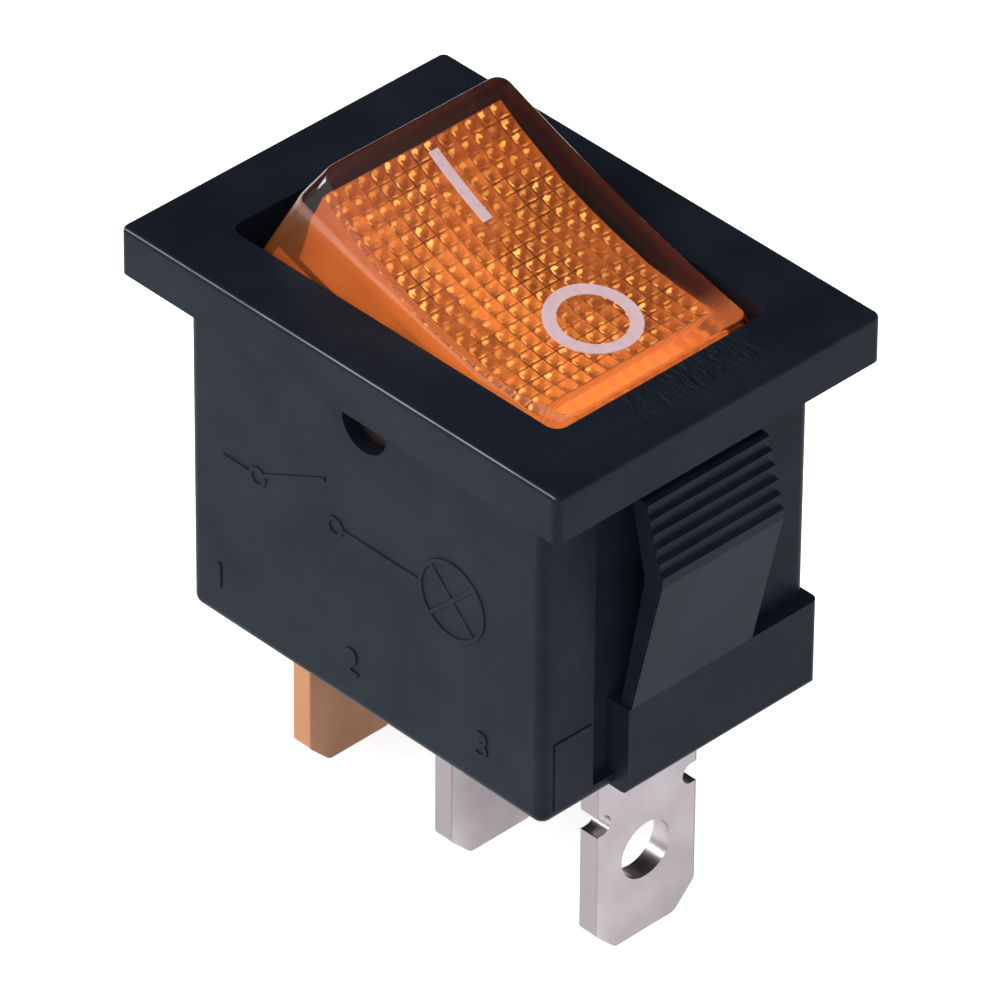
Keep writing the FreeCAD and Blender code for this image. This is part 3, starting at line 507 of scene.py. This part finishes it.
def prism_cutter():
    """A block under the cap's inner top whose upper face is the inner top plus the larger of the two
    distances from the nearest cell centre, so that what it leaves behind is a grid of pyramids."""
    columns, rows = prism_columns, prism_rows
    x = prism_start[0] + np.arange(columns + 1) * prism_pitch
    y = prism_start[1] + np.arange(rows + 1) * prism_pitch
    gx, gy = np.meshgrid(x, y, indexing="ij")
    corners = np.stack([gx, gy, ceiling(gx) + prism_cut + prism_pitch / 2], axis=-1).reshape(-1, 3)
    mx, my = np.meshgrid((x[1:] + x[:-1]) / 2, (y[1:] + y[:-1]) / 2, indexing="ij")
    middles = np.stack([mx, my, ceiling(mx) + prism_cut], axis=-1).reshape(-1, 3)
    floor = corners * (1, 1, 0) + (0, 0, cutter_floor)
    index = np.arange(corners.shape[0]).reshape(columns + 1, rows + 1)
    a, b = index[:-1, :-1].ravel(), index[1:, :-1].ravel()
    c, d = index[1:, 1:].ravel(), index[:-1, 1:].ravel()
    m = np.arange(middles.shape[0]) + corners.shape[0]
    roof = np.concatenate([np.stack(t, axis=1) for t in ((a, b, m), (b, c, m), (c, d, m), (d, a, m))])
    under = corners.shape[0] + middles.shape[0]
    base = np.stack([a, d, c, b], axis=1) + under
    rim = np.concatenate([index[:-1, 0], index[-1, :-1], index[:0:-1, -1], index[0, :0:-1]])
    after = np.roll(rim, -1)
    walls = np.stack([rim + under, after + under, after, rim], axis=1)
    points = seated(np.concatenate([corners, middles, floor]))
    return points, roof.tolist() + base.tolist() + walls.tolist()


def cap_faces(mesh):
    """Which finish each face of the cap has: 0 polished, 1 blasted inner wall, 2 prism, 3 painted shade, 4
    wall with painted glow, 5 satin outside of the walls, 6 pivot boss in painted shade.
    In the upright frame a prism face looks down from above the hollow, and an inside face looks towards the
    middle or down. The near and off end walls get the painted glow, and the other walls below the collar get
    the painted shade. The bosses stand outside the long walls."""
    count = len(mesh.polygons)
    centre, normal = np.empty(count * 3), np.empty(count * 3)
    mesh.polygons.foreach_get("center", centre)
    mesh.polygons.foreach_get("normal", normal)
    x, y, z = centre.reshape(-1, 3).T / MM
    nx, ny, nz = normal.reshape(-1, 3).T
    c, s = math.cos(half_tilt), math.sin(half_tilt)
    across, up = x * c - (z - pivot_z) * s, x * s + (z - pivot_z) * c
    lean, rise = nx * c - nz * s, nx * s + nz * c
    prism = (rise < -0.3) & (up > cutter_floor - 0.1) & (across < prism_end + 0.01)
    inside = (across * lean + y * ny < 0) & (rise < 0.5) | (rise < -0.8)
    lit = (ny > 0.5) & (y < 0) | (lean < -0.5) & (across > 0) | (across > cap_painted_glow_from)
    low = (up < collar_height + 0.1) & ~lit
    flank = (np.abs(rise) < 0.4) & ~inside
    return np.select([prism, np.abs(y) > cap_half_width + 0.02, inside & low, inside & lit, inside, flank],
                     [2, 6, 3, 4, 1, 5], 0)


def prism_cap(materials):
    """The clear cap: a merged copy of the solid's surface with the prism grid cut into its inner top."""
    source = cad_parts["rocker_cap"]
    mesh = source.data.copy()
    mesh.name = "clear_cap"
    mesh.transform(source.matrix_world)
    mesh.materials.clear()
    merged = bmesh.new()
    merged.from_mesh(mesh)
    bmesh.ops.remove_doubles(merged, verts=merged.verts, dist=0.0005 * MM)
    bmesh.ops.dissolve_degenerate(merged, edges=merged.edges, dist=0.0001 * MM)
    merged.to_mesh(mesh)
    merged.free()
    cap = added("clear_cap", mesh)
    points, faces = prism_cutter()
    tool_mesh = bpy.data.meshes.new("prism_cutter")
    tool_mesh.from_pydata((points * MM).tolist(), [], faces)
    tool = added("prism_cutter", tool_mesh)
    cut = cap.modifiers.new("prisms", "BOOLEAN")
    cut.operation = "DIFFERENCE"
    cut.solver = "EXACT"
    cut.object = tool
    shape = bpy.data.meshes.new_from_object(cap.evaluated_get(bpy.context.evaluated_depsgraph_get()))
    cap.modifiers.clear()
    cap.data = shape
    bpy.data.objects.remove(tool)
    for material in materials:
        shape.materials.append(material)
    shape.polygons.foreach_set("material_index", cap_faces(shape))
    shade_by_angle(shape, degrees=24, domed=(2,))
    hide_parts("rocker_cap")
    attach(cap, "rocker")


def carried(path, sideways, profile):
    """A closed profile carried along a path. At each point of the path the profile's first number goes along
    the given sideways direction and its second along the tangent crossed with it. Both ends are capped."""
    path, sideways = np.asarray(path, float), np.asarray(sideways, float)
    tangent = np.gradient(path, axis=0)
    tangent /= np.linalg.norm(tangent, axis=1, keepdims=True)
    sideways = sideways - tangent * np.sum(sideways * tangent, axis=1, keepdims=True)
    sideways /= np.linalg.norm(sideways, axis=1, keepdims=True)
    upward = np.cross(tangent, sideways)
    profile = np.asarray(profile, float)
    points = path[:, None] + sideways[:, None] * profile[:, :1] + upward[:, None] * profile[:, 1:]
    rings, count = points.shape[:2]
    index = np.arange(rings * count).reshape(rings, count)
    after = np.roll(index, -1, axis=1)
    faces = np.stack([index[:-1], index[1:], after[1:], after[:-1]], axis=-1).reshape(-1, 4).tolist()
    return points.reshape(-1, 3), faces + [index[0].tolist(), index[-1, ::-1].tolist()]


def coil_spring(name, finish, low_body, foot, high_body, head, radius, wire, turns):
    """Round wire carried along a helix from foot to head: the angle grows evenly, and the height keeps to
    about one wire a turn over the first and last turn, so that the ends are closed. The bodies given for the
    foot and the head are not used."""
    foot, head = np.asarray(foot, float), np.asarray(head, float)
    length = np.linalg.norm(head - foot)
    axis = (head - foot) / length
    first = np.cross(axis, (0, 1, 0))
    first /= np.linalg.norm(first)
    second = np.cross(axis, first)
    turn = np.linspace(0, turns, int(turns * coil_steps))
    wires = length / wire
    rise = np.interp(turn, [0, 1, turns - 1, turns], [0.5, closed_wires, wires - closed_wires, wires - 0.5])
    angle = (turn * 2 * math.pi)[:, None]
    outwards = first * np.cos(angle) + second * np.sin(angle)
    ring = np.linspace(0, 2 * math.pi, wire_sides, endpoint=False)
    profile = np.stack([np.cos(ring), np.sin(ring)], axis=1) * wire / 2
    path = foot + axis * (rise * wire)[:, None] + outwards * radius
    points, faces = carried(path, outwards, profile)
    piece = add_piece("coiled_" + name, points, faces, finish, None)
    for face in piece.data.polygons:
        face.use_smooth = len(face.vertices) == 4
    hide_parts(name)
    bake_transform(piece)


def moulded_line(name, corners, height):
    """A low rib with a flat top, carried along straight runs on the body's near side. Ribs that cross differ
    in height."""
    corners = np.asarray(corners, float)
    steps = np.arange(len(corners))
    fine = np.linspace(0, steps[-1], (len(steps) - 1) * line_steps + 1)
    path = np.stack([np.interp(fine, steps, corners[:, 0]), np.full(len(fine), -body_half_width),
                     np.interp(fine, steps, corners[:, 1])], axis=1)
    tangent = np.gradient(path, axis=0)
    tangent /= np.linalg.norm(tangent, axis=1, keepdims=True)
    root, top = line_half_width, line_half_width * line_top_share
    profile = [(-root, line_root), (root, line_root), (top, -height), (-top, -height)]
    points, faces = carried(path, np.cross((0, 1, 0), tangent), profile)
    add_piece(name, points, faces, nylon, "switch_body")


def moulded_number(figure, x, z):
    """A raised figure on the body's near side, reading along X."""
    curve = bpy.data.curves.new("figure_" + figure, "FONT")
    curve.body, curve.size, curve.extrude = figure, figure_height * MM, line_height * MM
    curve.align_x, curve.align_y, curve.resolution_u = "CENTER", "CENTER", 4
    drawn = added("figure_" + figure, curve)
    mesh = bpy.data.meshes.new_from_object(drawn.evaluated_get(bpy.context.evaluated_depsgraph_get()))
    bpy.data.objects.remove(drawn)
    turn = Matrix(((1, 0, 0, x * MM), (0, 0, -1, -body_half_width * MM), (0, 1, 0, z * MM), (0, 0, 0, 1)))
    mesh.transform(turn)
    mesh.materials.clear()
    mesh.materials.append(nylon)
    piece = added("moulded_number_" + figure, mesh)
    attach(piece, "switch_body")


def circle(x, z, radius, count):
    """Points of a round outline in the plane of the body's side, with its first point again at its end."""
    angle = np.linspace(0, 2 * math.pi, count)
    return np.stack([x + radius * np.cos(angle), z + radius * np.sin(angle)], axis=1)


def switch_symbol():
    """The plain circuit of a lit switch: two poles, the open arm between them, and the lamp's crossed ring.
    Each line has its corners and its share of the full height."""
    level, reach = symbol_level, lamp_radius * math.sqrt(0.5)
    west, east = lamp_middle - reach, lamp_middle + reach
    lines = {
        "pole_left": (circle(left_pole, level, pole_radius, count=13), 1.0),
        "pole_right": (circle(right_pole, level, pole_radius, count=13), 1.0),
        "lamp": (circle(lamp_middle, level, lamp_radius, count=41), 1.0),
        "feed": ([(feed_start, level), (left_pole - pole_radius, level)], 0.9),
        "arm": ([arm_foot, arm_tip], 0.9),
        "load": ([(right_pole + pole_radius, level), (lamp_middle - lamp_radius, level)], 0.9),
        "cross_up": ([(west, level - reach), (east, level + reach)], 0.8),
        "cross_down": ([(west, level + reach), (east, level - reach)], 0.7),
    }
    for name, (corners, share) in lines.items():
        moulded_line("symbol_" + name, corners, line_height * share)


# View, floor and light

def add_camera():
    """A long lens at the photograph's place, aimed by its own right, up and back directions."""
    turn, lift, roll = (math.radians(v) for v in (camera_turn, camera_lift, camera_roll))
    back = Vector((math.sin(turn) * math.cos(lift), -math.cos(turn) * math.cos(lift), math.sin(lift)))
    right = (-back).cross(Vector((0, 0, 1))).normalized()
    up = right.cross(-back)
    right, up = right * math.cos(roll) + up * math.sin(roll), up * math.cos(roll) - right * math.sin(roll)
    data = bpy.data.cameras.new("camera")
    data.sensor_fit = "HORIZONTAL"
    data.sensor_width = sensor_width
    data.lens = focal_pixels / photo_pixels * sensor_width
    data.clip_start = 0.01
    made = added("camera", data)
    spot = (back * camera_distance + right * camera_aside + up * camera_above) * MM
    turned = Matrix((right, up, back)).transposed().to_4x4()
    made.matrix_world = Matrix.Translation(spot) @ turned
    bpy.context.scene.camera = made


def add_floor():
    """A wide sheet of studio paper under the blades' tips."""
    half = 900.0
    corners = [(-half, -half, floor_level), (half, -half, floor_level), (half, half, floor_level),
               (-half, half, floor_level)]
    mesh = bpy.data.meshes.new("floor")
    mesh.from_pydata((np.array(corners) * MM).tolist(), [], [(0, 1, 2, 3)])
    mesh.materials.append(paper_white())
    added("floor", mesh)


def add_softbox(name, place, size, power):
    """A square soft white light that faces the object from a place in millimetres."""
    data = bpy.data.lights.new(name, "AREA")
    data.size = size * MM
    data.energy = power
    made = added(name, data)
    spot = Vector(place) * MM
    made.matrix_world = Matrix.Translation(spot) @ spot.to_track_quat("Z", "Y").to_matrix().to_4x4()
    made.visible_camera = False


def add_sky():
    """Soft surround that is brighter towards the front and dim at the back left."""
    world = bpy.data.worlds.new("studio")
    bpy.context.scene.world = world
    world.use_nodes = True
    tree = world.node_tree
    back = tree.nodes["Background"]
    facing = node(tree, "ShaderNodeTexCoord").outputs["Generated"]
    lean = node(tree, "ShaderNodeVectorMath", {"operation": "DOT_PRODUCT"}, _0=facing, _1=(0.50, -0.75, 0.43))
    rise = node(tree, "ShaderNodeMapRange", {"interpolation_type": "SMOOTHSTEP"}, Value=lean.outputs["Value"],
                From_Min=-0.2, From_Max=1.0, To_Min=0.14, To_Max=1.2)
    feed(tree, back, Strength=rise.outputs["Result"], Color=linear("fbfcff"))


add_camera()
add_floor()
add_sky()
add_softbox("front_left_light", (-343, -354, 327), size=260, power=2.6)
add_softbox("camera_side_light", (330, -330, 420), size=260, power=1.0)

nylon = black_nylon()
amber = amber_polycarbonate("amber_polished", "f79a4c", "fba456", roughness=0.02, clear=1.0, depth=0.004)
# Blasted inner walls, darker at the on end and lighter at the off end as painted shade
amber_blasted = amber_polycarbonate("amber_blasted", "b87858", "ffe0b4", roughness=0.5, clear=0.3,
                                    depth=0.03)
# Near and off end inner walls: the same painted shade, with a painted glow for outside light coming in
amber_painted_glow = amber_polycarbonate("amber_painted_glow", "c08060", "ffd0a0", roughness=0.5, clear=0.3, depth=0.03,
                                light=(-5, 7, 0.15, 0.42))
amber_satin = amber_polycarbonate("amber_satin", "f08a3a", "f8983e", roughness=0.2, clear=0.9, depth=0.01)
# Pivot bosses near black, as painted shade deep in their hole
amber_boss_painted_shade = amber_polycarbonate("amber_boss_painted_shade", "1c0e08", "20100a", roughness=0.5, clear=0.0, depth=0.02)
# Other walls below the collar: dark brown painted shade, with a little painted glow at the off end
amber_painted_shade = amber_polycarbonate("amber_painted_shade", "42200e", "94502c", roughness=0.6, clear=0.0,
                                   depth=0.03, light=(5.2, 6.4, 0.0, 0.4))
undyed = natural_nylon("natural_nylon")[0]
# Stamped edges: darker on the tin as painted shade, lighter on the brass as a painted highlight
tinned = rolled_metal("tinned_brass", "9a9396", "aca5a8", roughness=0.3, along=(1, 1, 0.12), edge="8e8589")
brass = rolled_metal("rolled_brass", "84604a", "906a50", roughness=0.3, along=(1, 1, 0.12), edge="aa7856")
copper = rolled_metal("rolled_copper", "c77f5a", "d18a62", roughness=0.3, along=(0.12, 1, 1))
silver = rolled_metal("silver_contact", "dcdad6", "e8e6e2", roughness=0.22, along=(1, 1, 1))
wire = rolled_metal("drawn_wire", "a9a8a4", "bab9b4", roughness=0.25, along=(1, 1, 1))
ink = mark_ink()
finishes = {
    "case": nylon, "on_mark": ink, "off_mark": ink, "lamp_carrier": glowing_nylon(), "plunger": undyed,
    "plunger_spring": wire, "contact_lever": copper, "moving_contact": silver, "fixed_contact": silver,
    "common_terminal": tinned, "load_terminal": tinned, "lamp_terminal": brass, "neutral_spring": wire,
    "load_spring": wire, "neon_bulb": lamp_glass(), "neon_electrode_a": wire, "neon_electrode_b": wire,
    "resistor_body": resistor_lacquer(), "resistor_lead_a": wire, "resistor_lead_b": wire,
    "joint_sleeve": sleeve_plastic(), "rocker_cap": amber,
}
for name, finish in finishes.items():
    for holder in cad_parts[name].material_slots:
        holder.material = finish

prism_cap([amber, amber_blasted, moulded_prisms(), amber_painted_shade, amber_painted_glow, amber_satin, amber_boss_painted_shade])
for name, shape in springs.items():
    coil_spring(name, wire, *shape)
for figure, x in figures.items():
    moulded_number(figure, x, figure_level)
switch_symbol()

scene = bpy.context.scene
scene.view_settings.view_transform = "Standard"
scene.cycles.max_bounces = 16
scene.cycles.transmission_bounces = 14
scene.cycles.glossy_bounces = 8
